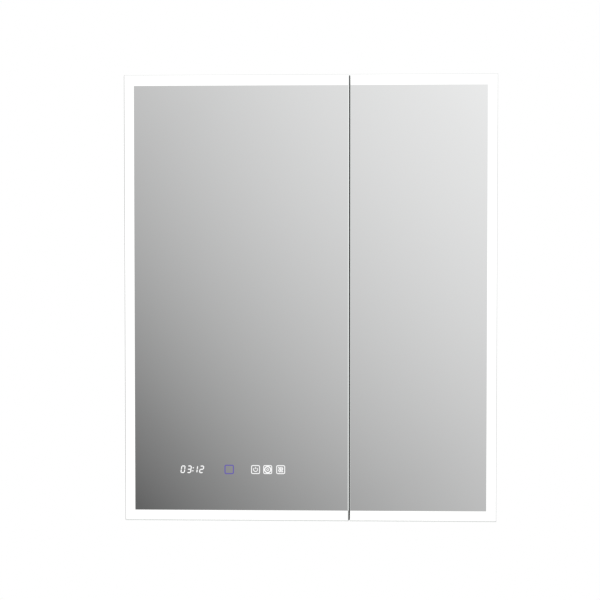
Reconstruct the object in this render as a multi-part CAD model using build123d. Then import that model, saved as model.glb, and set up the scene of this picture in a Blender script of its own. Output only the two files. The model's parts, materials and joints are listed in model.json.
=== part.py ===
from build123d import *
import math
import os

# Wall-hung mirrored cabinet with two lit doors. Millimetres. The origin is the centre of the
# back face, on the wall plane y = 0; +Z is up, +X is to the right and the doors face -Y.

# ---- driving dimensions -------------------------------------------------------------------
WIDTH = 762.0           # over the doors, 30 in
HEIGHT = 914.4          # over the doors, 36 in
DEPTH = 130.0           # wall to the front of the doors
DOOR_SPLIT = 461.5      # centre of the gap between the doors, from the left edge
DOOR_GAP = 2.6          # between the two doors
DOOR_THICKNESS = 24.0
DOOR_STANDOFF = 3.0     # between the doors and the carcass
OVERHANG = 10.0         # doors over the carcass, all round

WALL = 14.0             # thickness of the carcass extrusions
SKIN = 1.6              # wall of the extrusions
BACK = 2.0              # back panel
LINING = 3.0            # interior mirror and door inner mirror

GLASS = 4.0             # front pane
STILE = 26.0            # width of the lit frame members
WIDE_STILE = 46.0       # width of the chamber that the hinge cups sit in
MEETING = 20.0          # width of the meeting stile
TROUGH = 6.0            # depth of the light trough in the frame
RAIL_WALL = 2.0         # walls of the frame members
RAIL_FLOOR = 1.5        # their floors, behind the trough and at the back

SHELF = (700.0, 80.0, 6.0)                             # width, depth, thickness
SHELF_PAD = 1.0                                        # soft pad on a shelf clip
SHELF_HOLE = {"lower": 4, "middle": 11, "upper": 17}   # track hole under each shelf
TRACK = (4.0, 12.0, 700.0)                             # thickness, width, length
TRACK_Y = {"front": -54.0, "rear": -20.0}
HOLE_PITCH = 32.0
HOLES = 21
CLIP_PIN = 2.5
HOLE_PLAY = 0.1

MOUNT_X = 203.2         # wall screws, 16 in apart
MOUNT_Z = 405.0
MOUNT_R = 3.25

HINGE_Z = (-340.0, 0.0, 340.0)
PIN_IN = 8.0            # hinge axis, in from the door's outer edge
PIN_DEEP = 7.0          # hinge axis, in from the door's back face
PIN_R = 1.5
PIN_PLAY = 0.05
CUP_R = 17.5
CUP_IN = 20.0           # cup centre, in from the door's outer edge
CUP_DEEP = 12.0
CUP_WALL = 0.8

# ---- derived planes -----------------------------------------------------------------------
BODY_X = WIDTH / 2 - OVERHANG
BODY_Z = HEIGHT / 2 - OVERHANG
DOOR_FRONT = -DEPTH
DOOR_BACK = DOOR_FRONT + DOOR_THICKNESS
FRONT = DOOR_BACK + DOOR_STANDOFF              # front plane of the carcass
FRAME_BACK = DOOR_BACK - LINING                # back of the door frame
FRAME_FRONT = DOOR_FRONT + GLASS               # front of the door frame
TROUGH_FLOOR = FRAME_FRONT + TROUGH
INSIDE_X = BODY_X - WALL
INSIDE_Z = BODY_Z - WALL
LINING_Y = -BACK - LINING                      # face of the interior mirror
PIN_X = WIDTH / 2 - PIN_IN
PIN_Y = DOOR_BACK - PIN_DEEP
CUP_X = WIDTH / 2 - CUP_IN
DOOR_WIDTH = {"left": DOOR_SPLIT - DOOR_GAP / 2, "right": WIDTH - DOOR_SPLIT - DOOR_GAP / 2}
SIGN = {"left": -1, "right": 1}                # which side of the cabinet the hinges are on


# ---- helpers ------------------------------------------------------------------------------
def block(x, y, z):
    """A box between two values on each axis, given in either order."""
    spans = [(min(pair), max(pair)) for pair in (x, y, z)]
    size = [high - low for low, high in spans]
    middle = [(low + high) / 2 for low, high in spans]
    return Pos(*middle) * Box(*size)


def rod(centre, radius, length, axis="y"):
    """A cylinder along one axis, about its centre."""
    turn = {"x": Rot(0, 90, 0), "y": Rot(90, 0, 0), "z": Rot(0, 0, 0)}[axis]
    return Pos(*centre) * turn * Cylinder(radius, length)


def prism(points, y_low, y_high):
    """A polygon given in X and Z, filled between two Y planes."""
    face = make_face(Polyline([(x, 0, z) for x, z in points], close=True))
    solid = extrude(face, amount=y_high - y_low, dir=(0, 1, 0))
    return Pos(0, y_low, 0) * solid


def screw(head_r, head_h, shank_r, length):
    """A pan head screw along +Z: its head is above z = 0 and its shank below."""
    head = Pos(0, 0, head_h / 2) * Cylinder(head_r, head_h)
    head = chamfer(head.edges().group_by(Axis.Z)[-1], head_h * 0.3)
    socket = Pos(0, 0, head_h) * Box(head_r * 1.1, head_r * 0.3, head_h)
    cross = Pos(0, 0, head_h) * Box(head_r * 0.3, head_r * 1.1, head_h)
    return head + Pos(0, 0, -length / 2) * Cylinder(shank_r, length) - socket - cross


def flat_screw(head_r, shank_r, length):
    """A countersunk screw along +Z, flush at z = 0."""
    head_h = head_r - shank_r
    head = Pos(0, 0, -head_h / 2) * Cone(shank_r, head_r, head_h)
    slot = Box(head_r * 1.1, head_r * 0.3, head_h) + Box(head_r * 0.3, head_r * 1.1, head_h)
    return head + Pos(0, 0, -length / 2) * Cylinder(shank_r, length) - slot


def countersink(head_r, shank_r, length):
    """The hole that a flat screw fills, with no slot."""
    head_h = head_r - shank_r
    head = Pos(0, 0, -head_h / 2) * Cone(shank_r, head_r, head_h)
    return head + Pos(0, 0, -length / 2) * Cylinder(shank_r, length)


def group(pieces):
    return Compound(children=list(pieces))


WALL_SIDE_UP = Rot(-90, 0, 0)                  # turns a screw's head towards +Y


nodes = {}


def keep(name, shape):
    nodes[name] = shape


# ---- carcass ------------------------------------------------------------------------------
KEY_ARM = 60.0
KEY_PLAY = 0.1
KEY_HOLE_R = 2.5
PILOT_R = 1.6
CHAMBER = 24.0                                 # outer two chambers, where the keys sit
FRONT_CHAMBER = (FRONT + SKIN, FRONT + CHAMBER)
REAR_CHAMBER = (-BACK - CHAMBER, -BACK - SKIN)
MIDDLE_CHAMBER = (FRONT_CHAMBER[1] + SKIN, REAR_CHAMBER[0] - SKIN)


def mitred_wall(half_long, half_other, upright, sign):
    """One hollow wall, cut at 45 degrees at both ends."""
    outer, inner = half_other * sign, (half_other - WALL) * sign
    short = half_long - WALL
    ends = [(outer, half_long), (inner, short), (inner, -short), (outer, -half_long)]
    points = ends if upright else [(z, x) for x, z in ends]
    wall = prism(points, FRONT, -BACK)
    for chamber in (FRONT_CHAMBER, MIDDLE_CHAMBER, REAR_CHAMBER):
        across = ((half_other - SKIN) * sign, (half_other - WALL + SKIN) * sign)
        along = (-half_long, half_long)
        wall -= block(across, chamber, along) if upright else block(along, chamber, across)
    return wall


def carcass():
    for side, sign in SIGN.items():
        wall = mitred_wall(BODY_Z, BODY_X, True, sign)
        wall -= group(rod((sign * (INSIDE_X + 2), y, z), PILOT_R, 8, "x") for y, z in side_pilots())
        keep(f"side_panel_{side}", wall)
    top = mitred_wall(BODY_X, BODY_Z, False, 1)
    top -= group(rod((x, y, INSIDE_Z), PILOT_R, 8, "z") for x, y in cover_screw_places())
    keep("top_panel", top)
    keep("bottom_panel", mitred_wall(BODY_X, BODY_Z, False, -1))
    keep("corner_keys", group(corner_key(sx, sz, chamber) for sx in (-1, 1) for sz in (-1, 1)
                              for chamber in (FRONT_CHAMBER, REAR_CHAMBER)))


def corner_key(sx, sz, chamber):
    """An L key whose arms lie in the chambers of two walls."""
    y = (chamber[0] + KEY_PLAY, chamber[1] - KEY_PLAY)
    x = (sx * (BODY_X - SKIN - KEY_PLAY), sx * (INSIDE_X + SKIN + KEY_PLAY))
    z = (sz * (BODY_Z - SKIN - KEY_PLAY), sz * (INSIDE_Z + SKIN + KEY_PLAY))
    upright = block(x, y, (z[0], z[0] - sz * KEY_ARM))
    level = block((x[0], x[0] - sx * KEY_ARM), y, z)
    key = upright + level
    hole_y, reach = sum(y) / 2, KEY_ARM * 0.7
    key -= rod((sum(x) / 2, hole_y, z[0] - sz * reach), KEY_HOLE_R, WALL, "x")
    return key - rod((x[0] - sx * reach, hole_y, sum(z) / 2), KEY_HOLE_R, WALL, "z")


# ---- back ---------------------------------------------------------------------------------
BACK_SCREW = (3.4, 1.7, 11.0)                  # head radius, shank radius, length
BACK_SCREW_IN = WALL / 2
BACK_SCREW_Z = (-370.0, -185.0, 0.0, 185.0, 370.0)     # along each side
BACK_SCREW_X = (-250.0, 0.0, 250.0)                    # along top and bottom
MIRROR_TOP, MIRROR_BOTTOM = 368.0, -393.0
MIRROR_PLAY = 1.0                              # beside the interior mirror
GROMMET_X, GROMMET_Z = 90.0, 402.0
GROMMET_HOLE_R = 11.0
GROMMET_BORE_R = 6.0


def back_screw_places():
    sides = [(sx * (BODY_X - BACK_SCREW_IN), z) for sx in (-1, 1) for z in BACK_SCREW_Z]
    ends = [(x, sz * (BODY_Z - BACK_SCREW_IN)) for sz in (-1, 1) for x in BACK_SCREW_X]
    return sides + ends


def back():
    panel = block((-BODY_X, BODY_X), (-BACK, 0), (-BODY_Z, BODY_Z))
    for sx in (-1, 1):
        for sz in (-1, 1):
            panel -= rod((sx * MOUNT_X, 0, sz * MOUNT_Z), MOUNT_R, 6 * BACK)
    panel -= rod((GROMMET_X, 0, GROMMET_Z), GROMMET_HOLE_R, 6 * BACK)
    spots = [Pos(x, 0, z) * WALL_SIDE_UP for x, z in back_screw_places()]
    holes = [spot * countersink(*BACK_SCREW) for spot in spots]
    keep("back_panel", panel - group(holes))
    keep("back_panel_screws", group(spot * flat_screw(*BACK_SCREW) for spot in spots))
    for name in ("side_panel_left", "side_panel_right", "top_panel", "bottom_panel"):
        nodes[name] = nodes[name] - group(holes)
    reach = INSIDE_X - MIRROR_PLAY
    mirror = block((-reach, reach), (LINING_Y, -BACK), (MIRROR_BOTTOM, MIRROR_TOP))
    keep("interior_mirror", mirror)


# ---- shelf tracks, clips and shelves ------------------------------------------------------
TRACK_SCREW = (3.2, 1.6, 9.0)                  # head radius, shank radius, length
TRACK_SCREW_Z = (-336.0, -16.0, 336.0)         # between the shelf holes
CLIP_REACH = 13.0
CLIP_FLANGE = (5.5, 1.5)                       # radius and thickness
CLIP_HALF = 4.5                                # half of the tongue's width
CLIP_PAD_R = 3.5
TRACK_ARRIS = 0.8
SHELF_ARRIS = 0.8
SHELF_CORNER_R = 5.0
SHELF_BACK_GAP = 3.0                           # between a shelf and the interior mirror


def hole_z(index):
    return (index - (HOLES - 1) / 2) * HOLE_PITCH


def side_pilots():
    """Screw holes in the side walls, as Y and Z: tracks, then hinge plates."""
    tracks = [(y, z) for y in TRACK_Y.values() for z in TRACK_SCREW_Z]
    return tracks + [(y, z + dz) for z in HINGE_Z for y, dz in PLATE_SCREWS]


def inward(sign):
    """Turns a screw that points up so that its head faces the inside of the cabinet."""
    return Rot(0, -90 * sign, 0)


def shelf_fittings():
    face = INSIDE_X - TRACK[0]                 # inner face of a track
    screws, clips = [], []
    for side, sign in SIGN.items():
        for place, y in TRACK_Y.items():
            track = block((sign * INSIDE_X, sign * face), (y - TRACK[1] / 2, y + TRACK[1] / 2),
                          (-TRACK[2] / 2, TRACK[2] / 2))
            inner_edges = track.edges().filter_by(Axis.Z).group_by(Axis.X)[0 if sign > 0 else -1]
            track = chamfer(inner_edges, TRACK_ARRIS)
            track -= group(rod((sign * face, y, hole_z(i)), CLIP_PIN + HOLE_PLAY, 3 * TRACK[0], "x")
                           for i in range(HOLES))
            spots = [Pos(sign * face, y, z) * inward(sign) for z in TRACK_SCREW_Z]
            track -= group(spot * countersink(*TRACK_SCREW) for spot in spots)
            keep(f"shelf_track_{side}_{place}", track)
            screws += [spot * flat_screw(*TRACK_SCREW) for spot in spots]
            clips += [shelf_clip(sign, face, y, hole_z(i)) for i in SHELF_HOLE.values()]
    keep("track_screws", group(screws))
    keep("shelf_clips", group(clips))
    for level, index in SHELF_HOLE.items():
        bottom = hole_z(index) + CLIP_PIN + SHELF_PAD
        middle = LINING_Y - SHELF_BACK_GAP - SHELF[1] / 2
        shelf = Pos(0, middle, bottom + SHELF[2] / 2) * Box(*SHELF)
        shelf = fillet(shelf.edges().filter_by(Axis.Z), SHELF_CORNER_R)
        front_edges = shelf.edges().group_by(Axis.Y)[0].filter_by(Axis.X)
        keep(f"glass_shelf_{level}", chamfer(front_edges, SHELF_ARRIS))


def shelf_clip(sign, face, y, z):
    """A pin in the track, a flange against it and a tongue under the glass."""
    pin = rod((sign * (face + TRACK[0] / 2 - 0.1), y, z), CLIP_PIN, TRACK[0] - 0.2, "x")
    radius, thick = CLIP_FLANGE
    flange = rod((sign * (face - thick / 2), y, z), radius, thick, "x")
    flange &= block((sign * face, sign * (face - 2 * thick)), (y - radius, y + radius),
                    (z - radius, z + CLIP_PIN))
    tongue = block((sign * face, sign * (face - CLIP_REACH)), (y - CLIP_HALF, y + CLIP_HALF),
                   (z + 0.7, z + CLIP_PIN))
    pad_x = sign * (face - CLIP_REACH + CLIP_HALF)
    return pin + flange + tongue + rod((pad_x, y, z + CLIP_PIN + SHELF_PAD / 2), CLIP_PAD_R, SHELF_PAD, "z")


# ---- mains compartment --------------------------------------------------------------------
COVER = (300.0, 62.0, 58.0)                    # outside width, depth and height
COVER_SHEET = 1.2
COVER_LIP = 14.0
COVER_BEND_R = 3.0
COVER_SCREW = (3.5, 2.2, 1.6, 7.0)             # head radius and height, shank radius and length
COVER_SCREW_DY = 20.0
VENT = (2.4, 14.0)                             # slot width, and its ends in from the cover's faces
VENT_PITCH = 10
VENTS_EACH_SIDE = 10
DRIVER = (190.0, 42.0, 32.0)
DRIVER_X = -30.0
DRIVER_OFF_BACK = 4.0
DRIVER_DROP = 6.0                              # under the top panel, on its feet
DRIVER_FOOT = (14.0, 10.0, 40.0)               # width, and its two ends in front of the back
TERMINAL = (46.0, 20.0, 18.0)
TERMINAL_X = 112.0
TERMINAL_IN = 20.0                             # its middle behind the cover's front
TERMINAL_WAYS = (-15.0, -5.0, 5.0, 15.0)
TERMINAL_WAY = (3.0, 12.0)                     # radius and depth of a way
GROMMET_FLANGE = (4.0, 3.0)                    # over the hole's radius, and thickness


def cover_screw_places():
    y = -BACK - COVER[1] / 2
    return [(sx * (COVER[0] / 2 + COVER_LIP / 2), y + dy)
            for sx in (-1, 1) for dy in (-COVER_SCREW_DY, COVER_SCREW_DY)]


def mains_compartment():
    x, y0, y1 = COVER[0] / 2, -BACK - COVER[1], -BACK
    z0, z1 = INSIDE_Z - COVER[2], INSIDE_Z
    shell = block((-x, x), (y0, y1), (z0, z1))
    low_front = shell.edges().filter_by(Axis.X).group_by(Axis.Y)[0].group_by(Axis.Z)[:1]
    shell = fillet(low_front, COVER_BEND_R)
    t = COVER_SHEET
    shell -= block((t - x, x - t), (y0 + t, y1 + t), (z0 + t, z1 + t))
    for sx in (-1, 1):
        shell += block((sx * (x - t), sx * (x + COVER_LIP)), (y0, y1), (z1 - t, z1))
    vent_x = [i * VENT_PITCH for i in range(-VENTS_EACH_SIDE, VENTS_EACH_SIDE + 1)]
    shell -= group(block((vx - VENT[0] / 2, vx + VENT[0] / 2), (y0 + VENT[1], y1 - VENT[1]),
                         (z0 - t, z0 + 2 * t)) for vx in vent_x)
    shell -= group(rod((sx, sy, z1), COVER_SCREW[2] + 0.1, 8 * t, "z")
                   for sx, sy in cover_screw_places())
    keep("driver_cover", shell)
    down = Rot(180, 0, 0)
    keep("cover_screws", group(Pos(sx, sy, z1 - t) * down * screw(*COVER_SCREW)
                               for sx, sy in cover_screw_places()))
    case_y, case_z = y1 - DRIVER_OFF_BACK - DRIVER[1] / 2, z1 - DRIVER_DROP - DRIVER[2] / 2
    case = Pos(DRIVER_X, case_y, case_z) * Box(*DRIVER)
    case = fillet(case.edges().filter_by(Axis.X), 2)
    foot, near, far = DRIVER_FOOT
    feet = [block((DRIVER_X + sx * DRIVER[0] / 2, DRIVER_X + sx * (DRIVER[0] / 2 - foot)),
                  (y1 - far, y1 - near), (z1 - DRIVER_DROP - 0.5, z1)) for sx in (-1, 1)]
    keep("led_driver", case + feet[0] + feet[1])
    ty, tz = y0 + TERMINAL_IN, z1 - TERMINAL[2] / 2
    terminal = Pos(TERMINAL_X, ty, tz) * Box(*TERMINAL)
    way_r, way_deep = TERMINAL_WAY
    ways = [rod((TERMINAL_X + dx, ty, z1 - TERMINAL[2]), way_r, way_deep, "z") for dx in TERMINAL_WAYS]
    keep("terminal_block", terminal - group(ways))
    wider, thick = GROMMET_FLANGE
    ring = rod((GROMMET_X, -BACK / 2, GROMMET_Z), GROMMET_HOLE_R, BACK)
    ring += rod((GROMMET_X, -BACK - thick / 2, GROMMET_Z), GROMMET_HOLE_R + wider, thick)
    keep("cable_grommet", ring - rod((GROMMET_X, 0, GROMMET_Z), GROMMET_BORE_R, 20))


# ---- hinges, fixed half -------------------------------------------------------------------
ARM_HALF = 6.0                                 # half of the arm's height
ARM_T = 2.5                                    # sheet of the arm
ARM_EYE_R = 3.2
PLATE_T = 3.0
PLATE_RISE = 3.0                               # plate face to the arm's underside
PLATE = (34.0, 46.0)                           # depth and height on the side wall
PLATE_FRONT = FRONT + 4.0
PLATE_RAIL = (2.0, 5.5)                        # the rail's ends in from the plate's, and half height
PLATE_SCREWS = [(FRONT + 30.0, -16.0), (FRONT + 30.0, 16.0)]
PLATE_SCREW = (3.6, 2.4, 1.6, 9.0)             # head radius and height, shank radius and length
ARM_SCREW = (3.6, 2.0, 2.0, 5.0)
ARM_SCREW_Y = FRONT + 22.0
ARM_TAIL = FRONT + 34.0


def hinge_plate(sign, z):
    """A plate on the side wall, with a raised rail that carries the arm."""
    face = INSIDE_X - PLATE_T
    y = (PLATE_FRONT, PLATE_FRONT + PLATE[0])
    plate = block((sign * INSIDE_X, sign * face), y, (z - PLATE[1] / 2, z + PLATE[1] / 2))
    plate = fillet(plate.edges().filter_by(Axis.X), 6)
    short, half = PLATE_RAIL
    rail = block((sign * face, sign * (face - PLATE_RISE)), (y[0] + short, y[1] - short),
                 (z - half, z + half))
    plate += chamfer(rail.edges().filter_by(Axis.X), 1.5)
    for py, dz in PLATE_SCREWS:
        plate -= rod((sign * face, py, z + dz), PLATE_SCREW[2], 4 * PLATE_T, "x")
    return plate - rod((sign * face, ARM_SCREW_Y, z), ARM_SCREW[2], 4 * PLATE_T, "x")


def hinge_arm(sign, z):
    """A gooseneck: an eye on the hinge pin, a neck inside the cup, a bend and a tail on the plate."""
    under = INSIDE_X - PLATE_T - PLATE_RISE    # outer face of the tail
    over = under - ARM_T
    front = PIN_Y - ARM_EYE_R                  # the neck leaves the eye on its front side
    path = [(PIN_X, front), (over, front), (over, ARM_TAIL), (under, ARM_TAIL),
            (under, front + ARM_T), (PIN_X, front + ARM_T)]
    face = make_face(Polyline([(sign * x, y, 0) for x, y in path], close=True))
    for corner, radius in (((over, front), 6.0), ((under, front + ARM_T), 3.5)):
        face = fillet(face.vertices().sort_by_distance((sign * corner[0], corner[1], 0))[0], radius)
    arm = Pos(0, 0, z - ARM_HALF) * extrude(face, amount=2 * ARM_HALF, dir=(0, 0, 1))
    arm += rod((sign * PIN_X, PIN_Y, z), ARM_EYE_R, 2 * ARM_HALF, "z")
    arm -= rod((sign * PIN_X, PIN_Y, z), PIN_R + PIN_PLAY, 4 * ARM_HALF, "z")
    return arm - rod((sign * under, ARM_SCREW_Y, z), ARM_SCREW[2], 6 * ARM_T, "x")


def fixed_hinges():
    sides = [(sign, z) for sign in SIGN.values() for z in HINGE_Z]
    keep("hinge_plates", group(hinge_plate(sign, z) for sign, z in sides))
    keep("hinge_arms", group(hinge_arm(sign, z) for sign, z in sides))
    screws = []
    for sign, z in sides:
        for y, dz in PLATE_SCREWS:
            spot = Pos(sign * (INSIDE_X - PLATE_T), y, z + dz)
            screws.append(spot * inward(sign) * screw(*PLATE_SCREW))
        top = INSIDE_X - PLATE_T - PLATE_RISE - ARM_T
        screws.append(Pos(sign * top, ARM_SCREW_Y, z) * inward(sign) * screw(*ARM_SCREW))
    keep("hinge_screws", group(screws))


# ---- catches and bumpers ------------------------------------------------------------------
CATCH_X = {"left": 45.0, "right": 115.0}       # beside the gap between the doors
CATCH = (34.0, 22.0, 12.0)
MAGNET_R = 4.0
MAGNET_GAP = 0.4                               # between a magnet and its strike plate
BUMPER_R = 4.0
BUMPER_H = 2.7
BUMPER_X = (-330.0, 20.0, 140.0, 330.0)
STRIKE_R = 7.0
STRIKE_H = 1.0


def catches():
    pieces = []
    for x in CATCH_X.values():
        body = Pos(x, FRONT + CATCH[1] / 2 + 1, INSIDE_Z - CATCH[2] / 2) * Box(*CATCH)
        body = fillet(body.edges().filter_by(Axis.Y).group_by(Axis.Z)[0], 2)
        reach = DOOR_STANDOFF - STRIKE_H - MAGNET_GAP
        pieces.append(body + rod((x, FRONT, INSIDE_Z - CATCH[2] / 2), MAGNET_R, 2 * reach))
    keep("magnet_catches", group(pieces))
    z = BODY_Z - WALL / 2
    keep("door_bumpers", group(bumper(x, sz * z) for x in BUMPER_X for sz in (-1, 1)))


def bumper(x, z):
    pad = rod((x, FRONT - BUMPER_H / 2, z), BUMPER_R, BUMPER_H)
    return fillet(pad.edges().group_by(Axis.Y)[0], 1)


# ---- doors --------------------------------------------------------------------------------
PANE_ARRIS = 0.8
FRAME_KEY_ARM = 70.0
SEAL = (2.1, 14.0, 912.0)                      # thickness, depth and length
SEAL_BACK = 2.0                                # ahead of the meeting stile's back
SEAL_ROUND = 0.8
DIFFUSER = 2.0
DIFFUSER_PLAY = 0.2
TAPE = (10.0, 1.2)                             # width and thickness
TAPE_SHORT = 12.0                              # ends of the tapes short of the corners
TAPE_CLEAR = 8.0                               # tape end to the meeting stile
CHIP = (2.8, 0.8, 3.5)                         # width, height off the tape, length
CHIP_END = 12.0                                # last chip to the end of its tape
LED_PITCH = 33.0
CUP_WING = (16.0, 59.0, 1.2)                   # flange width, height and thickness
CUP_WING_R = 5.0
CUP_RIM = 1.5                                  # rim over the cup's radius
CUP_HOLE_PLAY = 0.2                            # round the cup, in the door
CUP_SCREW_IN = CUP_IN + 9.5
CUP_SCREW_Z = 22.5
CUP_SCREW = (3.2, 1.5, 10.0)                   # head radius, shank radius, length
LUG_OUT = 10.0                                 # half of the pin's length
LUG_BEHIND = 4.0                               # lug over the pin's axis, towards the door's back
RIM_START = 4.5                                # the rim stops short of the door's edge
INNER_EDGE = 2.0                               # inner mirror in from the door's edge


def door_x(side, inset):
    """X of a line at a distance in from a door's outer edge."""
    return SIGN[side] * (WIDTH / 2 - inset)


def cup_cuts(side, radius, y_low, y_high):
    return group(rod((door_x(side, CUP_IN), (y_low + y_high) / 2, z), radius, y_high - y_low)
                 for z in HINGE_Z)


def front_mirror(side):
    pane = block((door_x(side, 0), door_x(side, DOOR_WIDTH[side])), (DOOR_FRONT, FRAME_FRONT),
                 (-HEIGHT / 2, HEIGHT / 2))
    keep(f"{side}_front_mirror", chamfer(pane.edges().group_by(Axis.Y)[0], PANE_ARRIS))


def ring_of(side, near, far, y, width, top):
    """A U of flat bars round the outer three sides, between two insets of the door's edge."""
    outer = block((door_x(side, near), door_x(side, width)), y, (-top, top))
    low = top - far + near
    return outer - block((door_x(side, far), door_x(side, width + 1)), y, (-low, low))


def member(side, part):
    """One frame member: a light trough in front and a hollow chamber behind."""
    width = DOOR_WIDTH[side] - MEETING
    high = HEIGHT / 2
    y = (FRAME_FRONT, FRAME_BACK)
    trough_y = (FRAME_FRONT - 1, TROUGH_FLOOR)
    chamber_y = (TROUGH_FLOOR + RAIL_FLOOR, FRAME_BACK - RAIL_FLOOR)
    x0, x1, x2 = door_x(side, 0), door_x(side, STILE), door_x(side, width)
    inset = (door_x(side, RAIL_WALL), door_x(side, STILE - RAIL_WALL))
    if part == "outer_stile":
        shape = prism([(x0, -high), (x0, high), (x1, high - STILE), (x1, STILE - high)], *y)
        run = STILE - high
        shape += block((x1, door_x(side, WIDE_STILE)), (TROUGH_FLOOR, FRAME_BACK), (run, -run))
        for cut in (trough_y, chamber_y):
            shape -= block(inset, cut, (RAIL_WALL - high, high - RAIL_WALL))
        rear = (door_x(side, STILE - 2 * RAIL_WALL), door_x(side, WIDE_STILE - RAIL_WALL))
        shape -= block(rear, chamber_y, (run - 1, 1 - run))
        shape -= group(cup_screw_holes(side, CUP_SCREW[1]))
        return shape - cup_cuts(side, CUP_R + CUP_HOLE_PLAY, chamber_y[0], FRAME_BACK + 1)
    sign = 1 if part == "top_rail" else -1
    shape = prism([(x0, sign * high), (x2, sign * high), (x2, sign * (high - STILE)),
                   (x1, sign * (high - STILE))], *y)
    across = (sign * (high - RAIL_WALL), sign * (high - STILE + RAIL_WALL))
    for cut in (trough_y, chamber_y):
        shape -= block((door_x(side, RAIL_WALL), x2), cut, across)
    return shape


def door_frame(side):
    for part in ("outer_stile", "top_rail", "bottom_rail"):
        keep(f"{side}_{part}", member(side, part))
    high, width = HEIGHT / 2, DOOR_WIDTH[side]
    x = (door_x(side, width - MEETING), door_x(side, width))
    stile = block(x, (FRAME_FRONT, FRAME_BACK), (-high, high))
    hollow = (door_x(side, width - MEETING + RAIL_WALL), door_x(side, width - RAIL_WALL))
    capped = high - 2 * RAIL_FLOOR
    stile -= block(hollow, (FRAME_FRONT + RAIL_FLOOR, FRAME_BACK - RAIL_FLOOR), (-capped, capped))
    keep(f"{side}_meeting_stile", stile)
    keep(f"{side}_frame_keys", group(frame_key(side, sz) for sz in (-1, 1)))


def frame_key(side, sz):
    """An L key in the rear chambers of the stile and a rail."""
    y = (TROUGH_FLOOR + RAIL_FLOOR + KEY_PLAY, FRAME_BACK - RAIL_FLOOR - KEY_PLAY)
    near, far = RAIL_WALL + KEY_PLAY, STILE - RAIL_WALL - KEY_PLAY
    high = HEIGHT / 2
    x = (door_x(side, near), door_x(side, far))
    z = (sz * (high - near), sz * (high - far))
    upright = block(x, y, (z[0], sz * (high - FRAME_KEY_ARM)))
    return upright + block((x[0], door_x(side, FRAME_KEY_ARM)), y, z)


def meeting_seal():
    """A rubber strip on the left door's edge that closes the gap between the doors."""
    thick, deep, long = SEAL
    face = door_x("left", DOOR_WIDTH["left"])
    back = FRAME_BACK - SEAL_BACK
    seal = block((face, face + thick), (back - deep, back), (-long / 2, long / 2))
    keep("left_meeting_seal", fillet(seal.edges().filter_by(Axis.Z).group_by(Axis.X)[-1], SEAL_ROUND))


def light(side):
    """The diffuser behind the lit border, and an LED tape in each trough."""
    width = DOOR_WIDTH[side] - MEETING
    high = HEIGHT / 2
    near, far = RAIL_WALL + DIFFUSER_PLAY, STILE - RAIL_WALL - DIFFUSER_PLAY
    plate = ring_of(side, near, far, (FRAME_FRONT, FRAME_FRONT + DIFFUSER), width, high - near)
    keep(f"{side}_light_diffuser", plate)
    middle, half = STILE / 2, TAPE[0] / 2
    y = (TROUGH_FLOOR - TAPE[1], TROUGH_FLOOR)
    reach = high - middle
    x = (door_x(side, middle - half), door_x(side, middle + half))
    stop = reach - TAPE_SHORT
    tapes = [block(x, y, (-stop, stop))]
    chips = [(door_x(side, middle), z) for z in spread(CHIP_END - stop, stop - CHIP_END, LED_PITCH)]
    start, end = middle + TAPE_SHORT, width - TAPE_CLEAR
    for sz in (-1, 1):
        tapes.append(block((door_x(side, start), door_x(side, end)), y,
                           (sz * (reach - half), sz * (reach + half))))
        chips += [(door_x(side, u), sz * reach)
                  for u in spread(start + CHIP_END, end - CHIP_END, LED_PITCH)]
    leds = [Pos(cx, y[0] - CHIP[1] / 2, cz) * Box(*CHIP) for cx, cz in chips]
    strips = [tape + [led for led in leds if touches(tape, led)] for tape in tapes]
    keep(f"{side}_led_strips", group(strips))


def spread(low, high, pitch):
    """Even steps from low to high, no further apart than the pitch."""
    count = math.ceil((high - low) / pitch)
    return [low + (high - low) * i / count for i in range(count + 1)]


def touches(tape, chip):
    a, b = tape.bounding_box(), chip.bounding_box()
    return a.min.X <= b.min.X and b.max.X <= a.max.X and a.min.Z <= b.min.Z and b.max.Z <= a.max.Z


def cup_screw_holes(side, radius):
    return [rod((door_x(side, CUP_SCREW_IN), FRAME_BACK, z + dz), radius, 12)
            for z in HINGE_Z for dz in (-CUP_SCREW_Z, CUP_SCREW_Z)]


def inner_mirror(side):
    far, high = DOOR_WIDTH[side] - INNER_EDGE, HEIGHT / 2 - INNER_EDGE
    pane = block((door_x(side, INNER_EDGE), door_x(side, far)), (FRAME_BACK, DOOR_BACK), (-high, high))
    pane -= cup_cuts(side, CUP_R + CUP_HOLE_PLAY, FRAME_BACK - 1, DOOR_BACK + 1)
    keep(f"{side}_inner_mirror", pane - group(cup_screw_holes(side, CUP_SCREW[1] + 0.7)))


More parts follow.
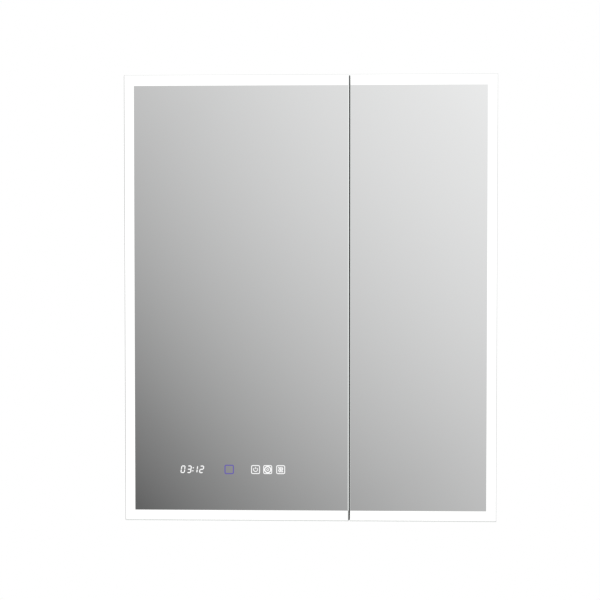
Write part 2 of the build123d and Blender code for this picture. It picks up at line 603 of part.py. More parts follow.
def hinge_cup(side, z):
    """A round cup with a flange on the door's back, and two lugs that hold the pin."""
    x = door_x(side, CUP_IN)
    bottom = DOOR_BACK - CUP_DEEP
    middle = (bottom + DOOR_BACK) / 2
    wide, tall, thick = CUP_WING
    cup = rod((x, middle, z), CUP_R, CUP_DEEP) - rod((x, middle + CUP_WALL, z), CUP_R - CUP_WALL, CUP_DEEP)
    flange = block((door_x(side, CUP_SCREW_IN - wide / 2), door_x(side, CUP_SCREW_IN + wide / 2)),
                   (DOOR_BACK, DOOR_BACK + thick), (z - tall / 2, z + tall / 2))
    flange = fillet(flange.edges().filter_by(Axis.Y), CUP_WING_R)
    flange += rod((x, DOOR_BACK + thick / 2, z), CUP_R + CUP_RIM, thick)
    flange -= rod((x, DOOR_BACK, z), CUP_R - CUP_WALL, 4 * thick)
    flange -= block((door_x(side, 0), door_x(side, RIM_START)), (DOOR_BACK - thick, DOOR_BACK + 2 * thick),
                    (z - CUP_R - CUP_RIM, z + CUP_R + CUP_RIM))
    lugs = [block((door_x(side, 0), door_x(side, PIN_IN + LUG_BEHIND)), (bottom + 0.3, PIN_Y + LUG_BEHIND),
                  (z + s * (ARM_HALF + 0.4), z + s * CUP_R)) for s in (-1, 1)]
    lugs = [lug & rod((x, middle, z), CUP_R - 0.2, CUP_DEEP) for lug in lugs]
    shape = cup + flange + lugs[0] + lugs[1]
    shape -= rod((door_x(side, PIN_IN), PIN_Y, z), PIN_R, 2 * LUG_OUT, "z")
    for dz in (-CUP_SCREW_Z, CUP_SCREW_Z):
        spot = Pos(door_x(side, CUP_SCREW_IN), DOOR_BACK + thick, z + dz)
        shape -= spot * WALL_SIDE_UP * countersink(*CUP_SCREW)
    return shape


def moving_hinges(side):
    keep(f"{side}_hinge_cups", group(hinge_cup(side, z) for z in HINGE_Z))
    keep(f"{side}_hinge_pins", group(rod((door_x(side, PIN_IN), PIN_Y, z), PIN_R, 2 * LUG_OUT, "z")
                                     for z in HINGE_Z))
    x, y = door_x(side, CUP_SCREW_IN), DOOR_BACK + CUP_WING[2]
    spots = [Pos(x, y, z + dz) for z in HINGE_Z for dz in (-CUP_SCREW_Z, CUP_SCREW_Z)]
    keep(f"{side}_cup_screws", group(spot * WALL_SIDE_UP * flat_screw(*CUP_SCREW) for spot in spots))


PAD_WIDTH = {"left": 300.0, "right": 190.0}
PAD_HEIGHT = 480.0
PAD_T = 0.6
PAD_Z = 60.0                                   # middle of the heating pads
CONTROLS_Z = 106.0                             # centre of clock and keys above the bottom edge
CLOCK = (58.0, 24.0, 7.0)                      # width, height, depth
CLOCK_IN = 138.1                               # centre of the clock from the left edge
KEYS_IN = (215.0, 268.9, 293.9, 320.6)
KEY_SENSOR = (7.5, 2.0)                        # radius and height
BOARD_HALF = 15.0                              # half height, and its ends past the outer keys
BOARD_T = 1.6
BOARD_PLUG = (14.0, 10.0, 5.0)                 # width, height, depth
BOARD_PLUG_IN = 242.0


def pad_and_strike(side):
    """The heating pad behind the pane, and the steel disc that meets the magnet catch."""
    middle = (STILE + DOOR_WIDTH[side] - MEETING) / 2
    pad = Box(PAD_WIDTH[side], PAD_T, PAD_HEIGHT)
    keep(f"{side}_defogger_pad", Pos(door_x(side, middle), FRAME_FRONT + PAD_T / 2, PAD_Z) * pad)
    strike = (CATCH_X[side], DOOR_BACK + STRIKE_H / 2, INSIDE_Z - CATCH[2] / 2)
    keep(f"{side}_strike_plate", rod(strike, STRIKE_R, STRIKE_H))


def controls():
    """The touch board and the clock, both against the back of the left pane."""
    z = CONTROLS_Z - HEIGHT / 2
    x = (door_x("left", KEYS_IN[0] - BOARD_HALF), door_x("left", KEYS_IN[-1] + BOARD_HALF))
    back = FRAME_FRONT + BOARD_T
    board = block(x, (FRAME_FRONT, back), (z - BOARD_HALF, z + BOARD_HALF))
    radius, high = KEY_SENSOR
    keys = [rod((door_x("left", u), back + high / 2, z), radius, high) for u in KEYS_IN]
    wide, tall, deep = BOARD_PLUG
    plug = Pos(door_x("left", BOARD_PLUG_IN), back + deep / 2, z) * Box(wide, deep, tall)
    keep("left_touch_board", board + keys + plug)
    wide, tall, deep = CLOCK
    clock = Pos(door_x("left", CLOCK_IN), FRAME_FRONT + deep / 2, z) * Box(wide, deep, tall)
    keep("left_clock_module", fillet(clock.edges().group_by(Axis.Y)[-1], 1.5))


# ---- build and write ----------------------------------------------------------------------
carcass()
back()
shelf_fittings()
mains_compartment()
fixed_hinges()
catches()
for door in SIGN:
    front_mirror(door)
    door_frame(door)
    light(door)
    inner_mirror(door)
    moving_hinges(door)
    pad_and_strike(door)
meeting_seal()
controls()

os.makedirs("parts", exist_ok=True)
for name, shape in nodes.items():
    export_step(shape, f"parts/{name}.step")
print(len(nodes), "nodes written")
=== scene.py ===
import json
import math

import bmesh
import bpy
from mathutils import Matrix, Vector


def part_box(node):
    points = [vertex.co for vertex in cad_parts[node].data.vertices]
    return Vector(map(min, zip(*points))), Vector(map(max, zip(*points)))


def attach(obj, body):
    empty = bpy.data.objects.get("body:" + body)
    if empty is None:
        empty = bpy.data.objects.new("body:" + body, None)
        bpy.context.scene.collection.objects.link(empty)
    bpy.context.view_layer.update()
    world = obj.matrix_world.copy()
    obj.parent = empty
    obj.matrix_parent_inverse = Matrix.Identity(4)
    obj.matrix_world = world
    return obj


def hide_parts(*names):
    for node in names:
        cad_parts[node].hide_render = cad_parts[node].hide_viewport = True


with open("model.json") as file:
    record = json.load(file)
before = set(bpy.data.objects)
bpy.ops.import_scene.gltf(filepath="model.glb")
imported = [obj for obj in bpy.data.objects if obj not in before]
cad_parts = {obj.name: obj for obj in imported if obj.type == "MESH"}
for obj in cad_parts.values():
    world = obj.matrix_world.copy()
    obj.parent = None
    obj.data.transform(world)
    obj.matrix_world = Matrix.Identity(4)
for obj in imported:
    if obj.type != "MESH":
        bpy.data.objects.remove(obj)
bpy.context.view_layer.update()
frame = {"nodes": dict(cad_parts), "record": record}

MM = 0.001
DOORS = ("left", "right")

# What lies on the glass, in metres.
SIDE_BAND = 20.4 * MM       # width of the frosted, lit band on the upright outer sides
END_BAND = 22.0 * MM        # and along the top and bottom
ARRIS = 0.8 * MM            # ground edge of the panes: its depth, and its width at the top
LOW_ARRIS = 2.2 * MM        # its width at the bottom
OUTER_ARRIS = {"left": 0.95 * MM, "right": 0.8 * MM}    # and on the outer upright edge
MEETING_BEVEL = {"left": 1.7 * MM, "right": 0.4 * MM}   # and where the doors meet
FILM = 0.12 * MM            # thickness given to silvering, frosting and icons
PROUD = 0.03 * MM           # how far silvering and frosting stand off the glass
ICON_PROUD = 0.08 * MM      # how far the clock and the keys do

# The clock and the keys, whose places are measured from the left door's lower left corner.
CONTROLS_Z = 106.0 * MM     # centre of them all
KEY_SIZE = 18.2 * MM
KEY_LINE = 1.7 * MM
KEY_RADIUS = 2.4 * MM
STATUS_SIZE = 19.5 * MM
STATUS_LINE = 2.3 * MM
STATUS_X = 214.6 * MM
POWER_X = 268.9 * MM
DIMMER_X = 293.9 * MM
DEFOG_X = 320.6 * MM
POWER_RING = (4.1 * MM, 1.5 * MM)       # radius and line
POWER_OPEN = (132, 408)                 # ends of the ring, in degrees
POWER_BAR = (1.0 * MM, 5.4 * MM)        # ends of the bar, above the centre
DIMMER_RING = (2.1 * MM, 1.4 * MM)
DIMMER_HALO = (6.15 * MM, 2.3 * MM)
WAVE_PITCH = 3.3 * MM
WAVE_HALF = 5.6 * MM                    # half of a wave's height
WAVE_SWING = 0.8 * MM
WAVE_RATE = 950.0                       # radians a metre
WAVE_LINE = 2.0 * MM
WAVE_STEPS = 16
DIGIT_HEIGHT = 15.8 * MM
DIGIT_WIDTH = 9.2 * MM
DIGIT_LINE = 2.25 * MM
DIGIT_SLANT = 0.13
BAR_SHARE = 0.96                        # how much of DIGIT_LINE a segment fills
BAR_GAP = 0.12 * MM                     # between a segment's tip and its corner
COLON_DOT = 1.35 * MM
COLON_IN = 0.9 * MM
COLON_HEIGHTS = (0.30, 0.70)            # shares of the digits' height
CLOCK = (("0", 113.7 * MM), ("3", 126.7 * MM), (":", 138.1 * MM),
         ("1", 139.5 * MM), ("2", 152.1 * MM))
WHITE = (1.0, 1.0, 1.0)
VIOLET = (0.13, 0.105, 0.39)

# The studio. The fade is what the mirrors show: a curve over a place that grows to the right
# and upwards, and a glow straight ahead.
FADE_CENTRE = 0.99
FADE_ACROSS = 2.2
FADE_UP = 2.03
FADE_ENDS = (-0.02, 2.3)
FADE_BASE = 0.148
FADE_SLOPE = 0.505
FADE_CURVE = -0.062
GLOW = 0.026
GLOW_FALL = 15.0
STUDIO_LOW = 0.42
STUDIO_HIGH = 0.85
STUDIO_RISE = (-0.6, 0.9)   # heights between which the studio brightens
SIDE_LEVEL = 0.30           # low on the left
SIDE_RISE = (0.1, 1.0)
FADE_RISE = (0.86, 0.94)    # how nearly straight ahead the fade begins and is full
BACK_RISE = (0.5, 0.85)     # the same for the white behind the cabinet
LEAST_AHEAD = 0.2
KEY_LIGHT = {"place": (1.5, -1.1, 3.0), "side": 1.4, "power": 60}
FILL_LIGHT = {"place": (-2.2, -0.4, 2.2), "side": 1.6, "power": 20}
FLOOR_HEIGHT = -1.55
FLOOR_HALF = 3.0
FLOOR_Y = -0.8
LENS = 50
SENSOR = 36
CAMERA_X = 0.0131
CAMERA_AWAY = 1.7050        # from the front of the doors
CAMERA_Z = 0.0288
CAMERA_TILT = 90 - 1.049    # degrees
CAMERA_TURN = 1.135


# ---- node helpers -------------------------------------------------------------------------
class Shader:
    """A material made of a Principled node and what feeds it."""

    def __init__(self, name, colour, metallic=0.0, rough=0.5, **sockets):
        self.mat = bpy.data.materials.new(name)
        self.mat.use_nodes = True
        self.tree = self.mat.node_tree
        self.bsdf = self.tree.nodes["Principled BSDF"]
        self.set("Base Color", (*colour, 1))
        self.set("Metallic", metallic)
        self.set("Roughness", rough)
        for key, value in sockets.items():
            self.set(key.replace("_", " "), value)

    def set(self, socket, value):
        self.bsdf.inputs[socket].default_value = value

    def node(self, kind, **inputs):
        made = self.tree.nodes.new(kind)
        for key, value in inputs.items():
            socket = made.inputs[key.replace("_", " ")]
            if isinstance(value, bpy.types.NodeSocket):
                self.link(value, socket)
            else:
                socket.default_value = value
        return made

    def link(self, a, b):
        self.tree.links.new(a, b)

    def place(self, scale=(1, 1, 1)):
        """Object coordinates in metres, stretched."""
        mapping = self.node("ShaderNodeMapping", Scale=scale)
        self.link(self.node("ShaderNodeTexCoord").outputs["Object"], mapping.inputs["Vector"])
        return mapping.outputs["Vector"]

    def noise(self, scale, detail=3.0, stretch=(1, 1, 1), roughness=0.55):
        made = self.node("ShaderNodeTexNoise", Vector=self.place(stretch), Scale=scale,
                         Detail=detail, Roughness=roughness)
        return made.outputs["Fac"]

    def span(self, value, low, high, start=0.3, end=0.7):
        made = self.node("ShaderNodeMapRange", Value=value)
        ends = {"From Min": start, "From Max": end, "To Min": low, "To Max": high}
        for key, number in ends.items():
            made.inputs[key].default_value = number
        return made.outputs["Result"]

    def mix(self, factor, a, b):
        made = self.tree.nodes.new("ShaderNodeMix")
        made.data_type = "RGBA"
        self.link(factor, made.inputs["Factor"])
        sockets = [s for s in made.inputs if s.type == "RGBA"]
        for socket, value in zip(sockets, (a, b)):
            if isinstance(value, bpy.types.NodeSocket):
                self.link(value, socket)
            else:
                socket.default_value = (*value, 1)
        return next(s for s in made.outputs if s.type == "RGBA")

    def colour(self, socket):
        self.link(socket, self.bsdf.inputs["Base Color"])

    def rough(self, value, low, high, start=0.3, end=0.7):
        self.link(self.span(value, low, high, start, end), self.bsdf.inputs["Roughness"])

    def bump(self, height, strength, distance):
        made = self.node("ShaderNodeBump", Height=height, Strength=strength, Distance=distance)
        self.link(made.outputs["Normal"], self.bsdf.inputs["Normal"])

    def emit(self, colour, strength):
        self.set("Emission Color", (*colour, 1))
        self.set("Emission Strength", strength)


# ---- materials ----------------------------------------------------------------------------
GRAIN = {"x": (0.02, 1, 1), "z": (1, 1, 0.02)}


def anodised(along):
    """Satin anodised extrusion with die lines along its length."""
    s = Shader(f"anodised_{along}", (0.62, 0.63, 0.64), metallic=1.0, rough=0.34)
    lines = s.noise(900, detail=4, stretch=GRAIN[along])
    cloud = s.noise(9, detail=2)
    s.colour(s.mix(cloud, (0.58, 0.59, 0.60), (0.65, 0.655, 0.66)))
    s.rough(lines, 0.28, 0.42)
    s.bump(lines, 0.18, 0.00008)
    return s.mat


def mill_sheet():
    s = Shader("mill_sheet", (0.56, 0.57, 0.58), metallic=1.0, rough=0.45)
    rolled = s.noise(400, detail=5, stretch=(0.015, 1, 1))
    s.colour(s.mix(s.noise(5, detail=4), (0.53, 0.54, 0.55), (0.62, 0.625, 0.63)))
    s.rough(rolled, 0.36, 0.54)
    s.bump(rolled, 0.12, 0.0001)
    return s.mat


def powder_coat():
    s = Shader("powder_coat", (0.86, 0.865, 0.86), rough=0.42)
    peel = s.noise(700, detail=2)
    s.colour(s.mix(s.noise(12), (0.83, 0.835, 0.83), (0.88, 0.885, 0.88)))
    s.rough(peel, 0.36, 0.48)
    s.bump(peel, 0.25, 0.0001)
    return s.mat


def silvering(name, tint):
    s = Shader(name, tint, metallic=1.0, rough=0.012)
    s.colour(s.mix(s.noise(3, detail=2), tint, tuple(c * 0.985 for c in tint)))
    s.rough(s.noise(6, detail=3), 0.006, 0.016)
    return s.mat


def mirror_backing():
    s = Shader("mirror_backing", (0.30, 0.32, 0.33), rough=0.5)
    s.colour(s.mix(s.noise(60, detail=5), (0.27, 0.29, 0.30), (0.33, 0.35, 0.36)))
    s.rough(s.noise(300), 0.42, 0.58)
    return s.mat


def ground_edge(name, light):
    """The polished edge of float glass, pale green, with light that leaks out of the lit band."""
    s = Shader(name, (0.60, 0.76, 0.70), rough=0.12, Coat_Weight=0.6, Coat_Roughness=0.05)
    run = s.noise(260, detail=3)
    s.colour(s.mix(run, (0.42, 0.60, 0.54), (0.56, 0.72, 0.67)))
    s.rough(run, 0.08, 0.2)
    s.emit((0.80, 0.96, 0.90), light)
    return s.mat


def bevel():
    """The ground and polished arris round a pane, silvery because the silvering shows in it."""
    s = Shader("bevel", (0.74, 0.76, 0.755), metallic=1.0, rough=0.08)
    run = s.noise(300, detail=3)
    s.colour(s.mix(run, (0.70, 0.73, 0.72), (0.78, 0.79, 0.79)))
    s.rough(run, 0.05, 0.14)
    return s.mat


def lit_bevel():
    """The satin bevel where the doors meet, which carries some of the band's light, but little
    of it beside the lower band."""
    s = Shader("lit_bevel", (0.24, 0.25, 0.245), rough=0.4)
    run = s.noise(300, detail=3)
    s.colour(s.mix(run, (0.22, 0.23, 0.225), (0.28, 0.29, 0.285)))
    s.rough(run, 0.34, 0.48)
    s.emit((1, 1, 1), 0.68)
    band_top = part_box("left_front_mirror")[0][2] + END_BAND
    height = s.node("ShaderNodeSeparateXYZ", Vector=s.place()).outputs["Z"]
    above = s.span(height, 0, 1, band_top - 1 * MM, band_top + 1 * MM)
    s.link(s.mix(above, (0.28, 0.28, 0.28), (0.98, 1.0, 0.99)), s.bsdf.inputs["Emission Color"])
    return s.mat


def frosted_light():
    """Sand-blasted glass over the opal diffuser."""
    s = Shader("frosted_light", (0.12, 0.122, 0.122), rough=0.55)
    grit = s.noise(1600, detail=2)
    s.colour(s.mix(grit, (0.10, 0.102, 0.102), (0.15, 0.152, 0.152)))
    s.rough(grit, 0.48, 0.62)
    s.bump(grit, 0.15, 0.00005)
    s.emit((1.0, 1.0, 0.995), 0.96)
    return s.mat


def lit_mark(name, colour, strength):
    """Light that comes through a clear cut in the silvering."""
    dark = tuple(c * 0.04 for c in colour)
    s = Shader(name, dark, rough=0.4, Specular_IOR_Level=0.2)
    s.colour(s.mix(s.noise(900), dark, tuple(c * 0.08 for c in colour)))
    s.emit(colour, strength)
    return s.mat


def shelf_glass():
    s = Shader("shelf_glass", (0.90, 0.97, 0.94), rough=0.0, IOR=1.5, Transmission_Weight=1.0)
    s.colour(s.mix(s.noise(4, detail=2), (0.88, 0.965, 0.93), (0.93, 0.98, 0.96)))
    return s.mat


def plated(name, low, high, rough=(0.2, 0.34), grit=1300):
    s = Shader(name, low, metallic=1.0, rough=rough[0])
    s.colour(s.mix(s.noise(70, detail=4), low, high))
    fine = s.noise(grit, detail=3)
    s.rough(fine, *rough)
    s.bump(fine, 0.1, 0.00006)
    return s.mat


def moulded(name, low, high, rough, grit=1500, depth=0.0001, **sockets):
    s = Shader(name, low, rough=rough[0], **sockets)
    fine = s.noise(grit, detail=2)
    s.colour(s.mix(s.noise(45, detail=3), low, high))
    s.rough(fine, *rough)
    s.bump(fine, 0.2, depth)
    return s.mat


def opal():
    s = Shader("opal_acrylic", (0.95, 0.95, 0.94), rough=0.35)
    s.rough(s.noise(200), 0.3, 0.42)
    s.emit((1, 1, 0.99), 0.9)
    return s.mat


def led_tape():
    """White tape with copper pads; the chips stand forward of it, coloured yellow."""
    floor_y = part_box("left_led_strips")[0][1]
    s = Shader("led_tape", (0.92, 0.92, 0.89), rough=0.4)
    part = s.node("ShaderNodeSeparateXYZ", Vector=s.place())
    chip = s.span(part.outputs["Y"], 1, 0, floor_y + 0.6 * MM, floor_y + 0.8 * MM)
    pads = s.span(s.noise(500, detail=1), 0, 1, 0.62, 0.64)
    tape = s.mix(pads, (0.92, 0.92, 0.89), (0.72, 0.45, 0.25))
    s.colour(s.mix(chip, tape, (0.95, 0.80, 0.28)))
    s.rough(s.noise(300), 0.3, 0.5)
    return s.mat


def heating_film():
    """Dark carbon bands with pale film between them."""
    s = Shader("heating_film", (0.10, 0.09, 0.085), rough=0.35)
    part = s.node("ShaderNodeSeparateXYZ", Vector=s.place())
    wave = s.node("ShaderNodeMath", Value=part.outputs["Z"])
    wave.operation = "PINGPONG"
    wave.inputs[1].default_value = 6 * MM
    band = s.span(wave.outputs[0], 0, 1, 1.4 * MM, 1.7 * MM)
    s.colour(s.mix(band, (0.55, 0.50, 0.42), (0.09, 0.085, 0.08)))
    s.rough(s.noise(200), 0.25, 0.45)
    return s.mat


def circuit_board():
    s = Shader("circuit_board", (0.03, 0.20, 0.10), rough=0.3)
    cell = s.node("ShaderNodeTexVoronoi", Vector=s.place(), Scale=320.0)
    cell.distance = "MANHATTAN"
    traces = s.span(cell.outputs["Distance"], 0, 1, 0.42, 0.46)
    s.colour(s.mix(traces, (0.02, 0.16, 0.08), (0.10, 0.36, 0.18)))
    s.rough(s.noise(500), 0.22, 0.38)
    s.bump(traces, 0.2, 0.00005)
    return s.mat


def paint_nodes():
    """Gives every CAD node its material, by the record's slot."""
    zinc = plated("zinc_plate", (0.66, 0.67, 0.68), (0.76, 0.755, 0.72), (0.22, 0.38))
    made = {
        "zinc_key": plated("cast_zinc", (0.42, 0.43, 0.45), (0.56, 0.57, 0.58), (0.42, 0.6), 600),
        "back_aluminium": mill_sheet(),
        "white_sheet": powder_coat(),
        "silver_mirror": silvering("inner_silvering", (0.90, 0.915, 0.91)),
        "clear_glass": shelf_glass(),
        "zinc_screw": zinc,
        "nickel_hinge": plated("nickel", (0.70, 0.685, 0.66), (0.78, 0.765, 0.74), (0.14, 0.26)),
        "clip_nylon": moulded("clip_nylon", (0.80, 0.82, 0.82), (0.87, 0.88, 0.88), (0.25, 0.4)),
        "opal_acrylic": opal(),
        "led_tape": led_tape(),
        "black_plastic": moulded("black_plastic", (0.022, 0.022, 0.024), (0.04, 0.04, 0.042),
                                 (0.35, 0.5)),
        "grey_plastic": moulded("grey_plastic", (0.40, 0.41, 0.42), (0.47, 0.48, 0.49), (0.4, 0.55)),
        "heating_film": heating_film(),
        "silicone": moulded("silicone", (0.78, 0.80, 0.80), (0.86, 0.87, 0.87), (0.3, 0.42)),
        "black_rubber": moulded("black_rubber", (0.018, 0.018, 0.018), (0.035, 0.035, 0.035),
                                (0.55, 0.75)),
        "green_board": circuit_board(),
        "strike_steel": plated("strike_steel", (0.62, 0.62, 0.62), (0.72, 0.72, 0.71), (0.16, 0.3)),
    }
    upright, level = anodised("z"), anodised("x")
    lying = ("top_panel", "bottom_panel", "top_rail", "bottom_rail")
    for part in frame["record"]["subparts"]:
        node = frame["nodes"][part["node"]]
        if part["material_slot"] == "satin_aluminium":
            chosen = level if part["node"].endswith(lying) else upright
        else:
            chosen = made[part["material_slot"]]
        node.data.materials.clear()
        node.data.materials.append(chosen)


# ---- mesh helpers -------------------------------------------------------------------------
def make_object(name, mesh, body, slot, *materials):
    made = bpy.data.objects.new(name, mesh)
    bpy.context.scene.collection.objects.link(made)
    for material in materials:
        mesh.materials.append(material)
    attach(made, body)
    return made


def film(name, faces, y_front, body, slot, material):
    """A thin closed plate from flat faces given as lists of (x, z), front at y_front."""
    bm = bmesh.new()
    for points in faces:
        bm.faces.new([bm.verts.new((x, y_front, z)) for x, z in points])
    bmesh.ops.remove_doubles(bm, verts=bm.verts, dist=1e-7)
    front = list(bm.faces)
    grown = bmesh.ops.extrude_face_region(bm, geom=front)
    moved = [v for v in grown["geom"] if isinstance(v, bmesh.types.BMVert)]
    bmesh.ops.translate(bm, vec=(0, FILM, 0), verts=moved)
    bmesh.ops.recalc_face_normals(bm, faces=bm.faces)
    mesh = bpy.data.meshes.new(name)
    bm.to_mesh(mesh)
    bm.free()
    return make_object(name, mesh, body, slot, material)


def ribbon(points, width, closed=False):
    """Quads along a line of (x, z) points, mitred at its corners."""
    count = len(points)
    sides = []
    for i, here in enumerate(points):
        ahead = points[(i + 1) % count] if closed or i < count - 1 else None
        behind = points[i - 1] if closed or i > 0 else None
        a = (Vector(ahead) - Vector(here)).normalized() if ahead else None
        b = (Vector(here) - Vector(behind)).normalized() if behind else None
        run = ((a or b) + (b or a)).normalized()
        normal = Vector((-run.y, run.x))
        spread = width / 2 / max(0.5, abs(normal.dot(Vector((-(a or b).y, (a or b).x)))))
        sides.append((Vector(here) + normal * spread, Vector(here) - normal * spread))
    last = count if closed else count - 1
    return [[tuple(sides[i][0]), tuple(sides[(i + 1) % count][0]),
             tuple(sides[(i + 1) % count][1]), tuple(sides[i][1])] for i in range(last)]


def arc(centre, radius, start, end, steps):
    """Points round part of a circle, in degrees."""
    angles = [math.radians(start + (end - start) * i / steps) for i in range(steps + 1)]
    return [(centre[0] + radius * math.cos(a), centre[1] + radius * math.sin(a)) for a in angles]


def rounded_square(centre, size, radius):
    half = size / 2 - radius
    corners = [(half, half, 0), (-half, half, 90), (-half, -half, 180), (half, -half, 270)]
    points = []
    for dx, dz, start in corners:
        points += arc((centre[0] + dx, centre[1] + dz), radius, start, start + 90, 6)
    return points


# ---- doors --------------------------------------------------------------------------------
def pane_mesh(name, low, high, left, right, lit):
    """A pane with a ground arris round its front face, as wide as given on its two upright
    edges, of which number lit is where the doors meet: 1 is the right one and 3 the left one.
    Face materials: 0 edge, 1 back, 2 arris, 3 arris where the doors meet."""
    rings = []
    for share, y in ((1, low.y), (0, low.y + ARRIS), (0, high.y)):
        x0, x1 = low.x + left * share, high.x - right * share
        z0, z1 = low.z + LOW_ARRIS * share, high.z - ARRIS * share
        rings.append([(x0, y, z0), (x1, y, z0), (x1, y, z1), (x0, y, z1)])
    bm = bmesh.new()
    verts = [[bm.verts.new(p) for p in ring] for ring in rings]
    for near, far, material in ((verts[0], verts[1], 2), (verts[1], verts[2], 0)):
        for i in range(4):
            side = bm.faces.new((near[i], near[(i + 1) % 4], far[(i + 1) % 4], far[i]))
            side.material_index = 3 if material == 2 and i == lit else material
    bm.faces.new(verts[0])
    back = bm.faces.new(list(reversed(verts[-1])))
    back.material_index = 1
    bmesh.ops.recalc_face_normals(bm, faces=bm.faces)
    mesh = bpy.data.meshes.new(name)
    bm.to_mesh(mesh)
    bm.free()
    return mesh


def door_front(side, materials):
    """The pane, its silvering and its frosted band, in place of the CAD pane."""
    low, high = (Vector(corner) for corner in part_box(f"{side}_front_mirror"))
    body = f"{side}_door"
    rim, meet = OUTER_ARRIS[side], MEETING_BEVEL[side]
    edges = (rim, meet, 1) if side == "left" else (meet, rim, 3)
    mesh = pane_mesh(f"{side}_pane", low, high, *edges)
    pane = make_object(f"{side}_pane", mesh, body, "silver_mirror", materials["edge"],
                       materials["backing"], materials["bevel"], materials["lit_bevel"])
    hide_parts(f"{side}_front_mirror")
    outer, meeting = (low.x, high.x) if side == "left" else (high.x, low.x)
    inward = 1 if side == "left" else -1
    near, band = outer + inward * rim, outer + inward * SIDE_BAND
    end = meeting - inward * meet
    z0, z1 = low.z + LOW_ARRIS, high.z - ARRIS
    b0, b1 = low.z + END_BAND, high.z - END_BAND
    y = low.y - PROUD
    silver = [[(band, b0), (end, b0), (end, b1), (band, b1)]]
    film(f"{side}_silvering", silver, y, body, "silver_mirror", materials["silver"])
    frost = [[(near, z0), (near, z1), (band, b1), (band, b0)],
             [(near, z1), (end, z1), (end, b1), (band, b1)],
             [(near, z0), (band, b0), (end, b0), (end, z0)]]
    film(f"{side}_lit_band", frost, y, body, "opal_acrylic", materials["frost"])


# ---- clock and keys -----------------------------------------------------------------------
SEGMENTS = {"0": "abcdef", "1": "bc", "2": "abged", "3": "abgcd"}


def segment(name, x, z):
    """One bar of a seven segment digit whose lower left corner is (x, z), a pointed hexagon."""
    w, h, t = DIGIT_WIDTH, DIGIT_HEIGHT, DIGIT_LINE / 2
    left, right, low, mid, top = x + t, x + w - t, z + t, z + h / 2, z + h - t
    ends = {"a": ((left, top), (right, top)), "b": ((right, mid), (right, top)),
            "c": ((right, low), (right, mid)), "d": ((left, low), (right, low)),
            "e": ((left, low), (left, mid)), "f": ((left, mid), (left, top)),
            "g": ((left, mid), (right, mid))}[name]
    a, b = Vector(ends[0]), Vector(ends[1])
    run = (b - a).normalized()
    side = Vector((-run.y, run.x))
    t *= BAR_SHARE
    a, b = a + run * BAR_GAP, b - run * BAR_GAP
    return [a, a + run * t + side * t, b - run * t + side * t,
            b, b - run * t - side * t, a + run * t - side * t]


def lean(point, base):
    return (point[0] + (point[1] - base) * DIGIT_SLANT, point[1])


def clock(material, origin, y):
    faces = []
    base = origin[1] + CONTROLS_Z - DIGIT_HEIGHT / 2
    for character, offset in CLOCK:
        x = origin[0] + offset
        if character == ":":
            for height in COLON_HEIGHTS:
                dot = arc((x + COLON_IN, base + DIGIT_HEIGHT * height), COLON_DOT, 0, 330, 11)
                faces.append([lean(p, base) for p in dot])
            continue
        for name in SEGMENTS[character]:
            faces.append([lean(p, base) for p in segment(name, x, base)])
    film("clock_digits", faces, y, "left_door", "opal_acrylic", material)


def key_outline(centre, size=KEY_SIZE, line=KEY_LINE):
    return ribbon(rounded_square(centre, size - line, KEY_RADIUS), line, closed=True)


def power_icon(c):
    """A ring that is open at the top, and a short bar in the opening."""
    radius, line = POWER_RING
    bar = [(c[0], c[1] + end) for end in POWER_BAR]
    return ribbon(arc(c, radius, *POWER_OPEN, 22), line) + ribbon(bar, line)


def dimmer_icon(c):
    """A small sun: a ring inside a broad ring that reaches the outline."""
    small = ribbon(arc(c, DIMMER_RING[0], 0, 345, 23), DIMMER_RING[1], closed=True)
    return small + ribbon(arc(c, DIMMER_HALO[0], 0, 352.5, 47), DIMMER_HALO[1], closed=True)


def defog_icon(c):
    """Three rising waves."""
    faces = []
    heights = [WAVE_HALF * (2 * i / WAVE_STEPS - 1) for i in range(WAVE_STEPS + 1)]
    for dx in (-WAVE_PITCH, 0.0, WAVE_PITCH):
        points = [(c[0] + dx + WAVE_SWING * math.sin(h * WAVE_RATE), c[1] + h) for h in heights]
        faces += ribbon(points, WAVE_LINE)
    return faces


def controls(white, violet):
    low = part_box("left_front_mirror")[0]
    y = low[1] - ICON_PROUD
    origin = (low[0], low[2])
    clock(white, origin, y)
    z = origin[1] + CONTROLS_Z
    status = (origin[0] + STATUS_X, z)
    film("status_key", key_outline(status, STATUS_SIZE, STATUS_LINE), y, "left_door", "opal_acrylic", violet)
    keys = {"power_key": (POWER_X, power_icon), "dimmer_key": (DIMMER_X, dimmer_icon),
            "defogger_key": (DEFOG_X, defog_icon)}
    for name, (x, icon) in keys.items():
        centre = (origin[0] + x, z)
        film(name, key_outline(centre) + icon(centre), y, "left_door", "opal_acrylic", white)


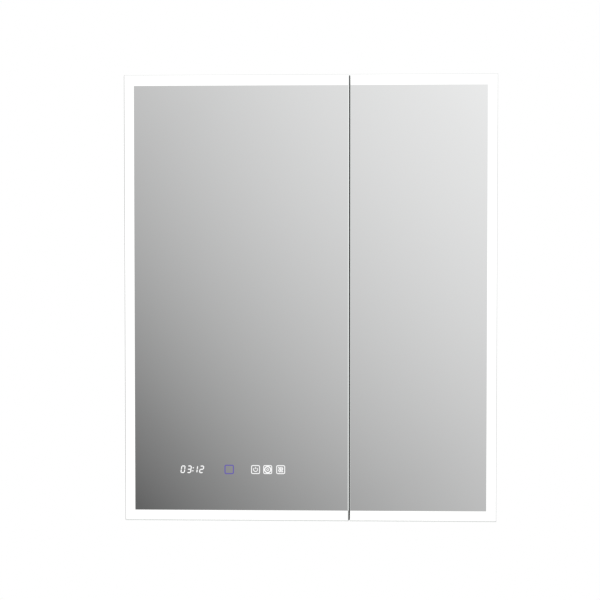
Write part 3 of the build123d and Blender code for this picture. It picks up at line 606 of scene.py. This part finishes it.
# ---- studio -------------------------------------------------------------------------------
def studio_world():
    """A soft grey studio: white behind the cabinet, brighter overhead, dim low on the left, and
    straight in front the soft fade that shows in the mirrors, from a bright upper right to a
    dim lower left."""
    world = bpy.data.worlds.new("studio")
    bpy.context.scene.world = world
    world.use_nodes = True
    tree = world.node_tree

    def maths(operation, *values, clamp=False):
        made = tree.nodes.new("ShaderNodeMath")
        made.operation, made.use_clamp = operation, clamp
        for socket, value in zip(made.inputs, values):
            if isinstance(value, bpy.types.NodeSocket):
                tree.links.new(value, socket)
            else:
                socket.default_value = value
        return made.outputs[0]

    def smooth(value, start, end, low=0.0, high=1.0):
        made = tree.nodes.new("ShaderNodeMapRange")
        made.interpolation_type = "SMOOTHSTEP"
        tree.links.new(value, made.inputs["Value"])
        ends = {"From Min": start, "From Max": end, "To Min": low, "To Max": high}
        for key, number in ends.items():
            made.inputs[key].default_value = number
        return made.outputs["Result"]

    def blend(low, high, share):
        return maths("ADD", low, maths("MULTIPLY", share, maths("SUBTRACT", high, low)))

    split = tree.nodes.new("ShaderNodeSeparateXYZ")
    tree.links.new(tree.nodes.new("ShaderNodeTexCoord").outputs["Generated"], split.inputs[0])
    x, y, z = (split.outputs[axis] for axis in "XYZ")
    ahead = maths("MAXIMUM", maths("MULTIPLY", y, -1.0), LEAST_AHEAD)
    across, up = maths("DIVIDE", x, ahead), maths("DIVIDE", z, ahead)

    place = maths("MULTIPLY_ADD", across, FADE_ACROSS, maths("MULTIPLY_ADD", up, FADE_UP, FADE_CENTRE))
    place = maths("MINIMUM", maths("MAXIMUM", place, FADE_ENDS[0]), FADE_ENDS[1])
    slope = maths("MULTIPLY_ADD", place, FADE_CURVE, FADE_SLOPE)
    off_axis = maths("ADD", maths("MULTIPLY", across, across), maths("MULTIPLY", up, up))
    glow = maths("MULTIPLY", maths("MULTIPLY_ADD", off_axis, -GLOW_FALL, 1.0, clamp=True), GLOW)
    fade = maths("ADD", maths("MULTIPLY_ADD", place, slope, FADE_BASE), glow)

    behind = smooth(y, *BACK_RISE)
    in_front = smooth(y, *reversed(BACK_RISE))
    studio = smooth(z, *STUDIO_RISE, STUDIO_LOW, STUDIO_HIGH)
    low_left = smooth(maths("MULTIPLY", maths("ADD", x, z), -1.0), *SIDE_RISE)
    studio = blend(studio, SIDE_LEVEL, maths("MULTIPLY", low_left, in_front))
    level = blend(studio, fade, smooth(ahead, *FADE_RISE))
    level = blend(level, 1.0, behind)
    tree.links.new(level, tree.nodes["Background"].inputs["Color"])


def area_light(name, place, side, power):
    """A square soft light that faces the cabinet's middle."""
    data = bpy.data.lights.new(name, "AREA")
    data.shape, data.size, data.size_y = "RECTANGLE", side, side
    data.energy = power
    lamp = bpy.data.objects.new(name, data)
    lamp.location = place
    lamp.rotation_euler = (-Vector(place)).to_track_quat("-Z", "Y").to_euler()
    bpy.context.scene.collection.objects.link(lamp)


def floor():
    mesh = bpy.data.meshes.new("floor")
    bm = bmesh.new()
    bmesh.ops.create_grid(bm, x_segments=8, y_segments=8, size=FLOOR_HALF)
    bmesh.ops.translate(bm, vec=(0, FLOOR_Y, FLOOR_HEIGHT), verts=bm.verts)
    bm.to_mesh(mesh)
    bm.free()
    ground = bpy.data.objects.new("floor", mesh)
    bpy.context.scene.collection.objects.link(ground)
    s = Shader("pale_floor", (0.82, 0.82, 0.81), rough=0.7)
    s.colour(s.mix(s.noise(2), (0.80, 0.80, 0.79), (0.85, 0.85, 0.84)))
    mesh.materials.append(s.mat)


def camera():
    data = bpy.data.cameras.new("camera")
    data.lens, data.sensor_width = LENS, SENSOR
    eye = bpy.data.objects.new("camera", data)
    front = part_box("left_front_mirror")[0][1]
    eye.location = (CAMERA_X, front - CAMERA_AWAY, CAMERA_Z)
    eye.rotation_euler = (math.radians(CAMERA_TILT), 0, math.radians(CAMERA_TURN))
    bpy.context.scene.collection.objects.link(eye)
    bpy.context.scene.camera = eye


# ---- scene --------------------------------------------------------------------------------
paint_nodes()
glass = {
    "edge": ground_edge("pane_edge", 0.06),
    "backing": mirror_backing(),
    "bevel": bevel(),
    "lit_bevel": lit_bevel(),
    "silver": silvering("front_silvering", (0.925, 0.93, 0.93)),
    "frost": frosted_light(),
}
for door in DOORS:
    door_front(door, glass)
controls(lit_mark("lit_white", WHITE, 0.96), lit_mark("lit_violet", VIOLET, 1.0))
studio_world()
floor()
area_light("key", **KEY_LIGHT)
area_light("fill", **FILL_LIGHT)
camera()
scene = bpy.context.scene
scene.view_settings.view_transform = "Standard"
